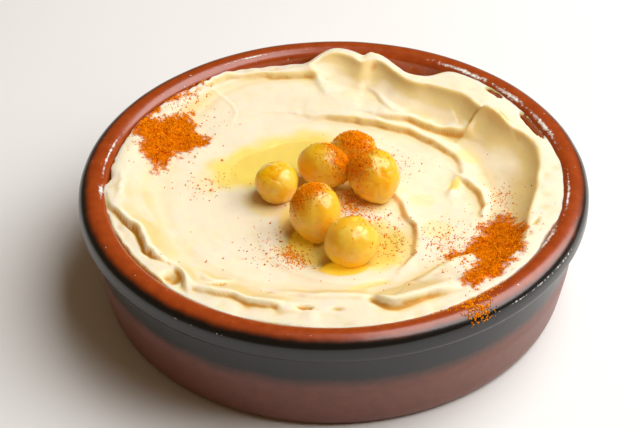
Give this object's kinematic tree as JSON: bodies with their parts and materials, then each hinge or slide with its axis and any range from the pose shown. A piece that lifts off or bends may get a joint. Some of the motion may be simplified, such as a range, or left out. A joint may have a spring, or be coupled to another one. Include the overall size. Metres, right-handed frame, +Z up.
{
  "type": "dish of hummus",
  "caption": "Round glazed clay dish filled with swirled hummus, topped with olive oil, whole chickpeas and paprika.",
  "frame": {"origin": "centre of the dish's flat foot, on the surface that it stands on", "axes": "+Z up along the dish's own axis, -Y the front from which the dish is seen, +X to its right"},
  "size_m": [0.13, 0.13, 0.0382],
  "materials": {
    "glazed_terracotta": "brown glaze over red clay, black at the rim's outer edge",
    "hummus": "smooth moist paste",
    "chickpea": "oiled skin",
    "olive_oil": "clear golden liquid"
  },
  "bodies": {
    "root": {"dish": "glazed_terracotta", "hummus": "hummus", "olive_oil_front": "olive_oil", "olive_oil_back": "olive_oil", "chickpea_1": "chickpea", "chickpea_2": "chickpea", "chickpea_3": "chickpea", "chickpea_4": "chickpea", "chickpea_5": "chickpea", "chickpea_6": "chickpea"}
  },
  "joints": []
}
